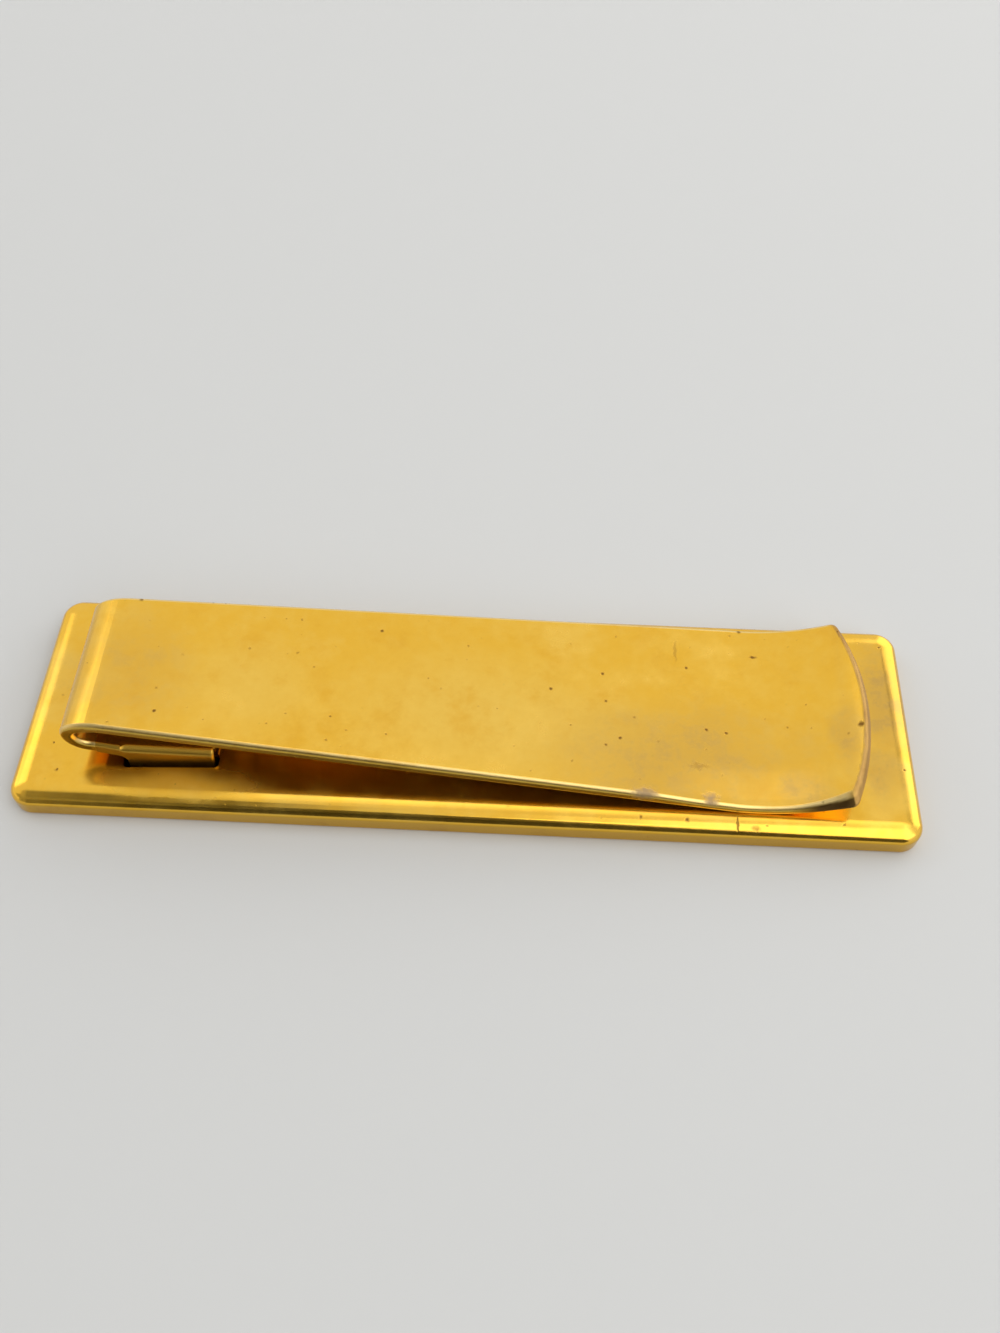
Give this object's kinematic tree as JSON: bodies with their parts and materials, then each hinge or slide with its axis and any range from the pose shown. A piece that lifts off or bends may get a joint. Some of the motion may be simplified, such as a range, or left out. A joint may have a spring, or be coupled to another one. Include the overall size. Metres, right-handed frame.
{
  "type": "tie clip",
  "caption": "Flat rectangular tie clip: a rounded pressed plate with a plain front panel and a hairpin strip spring whose upturned arm grips the tie against the back.",
  "frame": {"origin": "middle of the front face, on the plane that the clip lies on when it is face down", "axes": "+X along the clip from the rolled end of the spring to its free end, +Y across the clip, +Z out of the back"},
  "size_m": [0.05, 0.0138, 0.0055],
  "materials": {
    "tray_gold": "polished gold tone",
    "panel_gold": "satin gold tone",
    "spring_gold": "soft polished gold tone"
  },
  "bodies": {
    "plate": {"back_tray": "tray_gold", "face_panel": "panel_gold", "spring_foot": "spring_gold", "spring_roll": "spring_gold"},
    "arm": {"spring_arm": "spring_gold"}
  },
  "joints": [
    {"name": "arm_flex", "type": "hinge", "parent": "plate", "child": "arm", "pos_m": [-0.02025, 0, 0.00395], "axis": [0, -1, 0], "range_deg": [0, 11], "stiffness_Nm_per_rad": 2.4, "springref_deg": -1.72, "deforming": ["spring_roll"]}
  ]
}
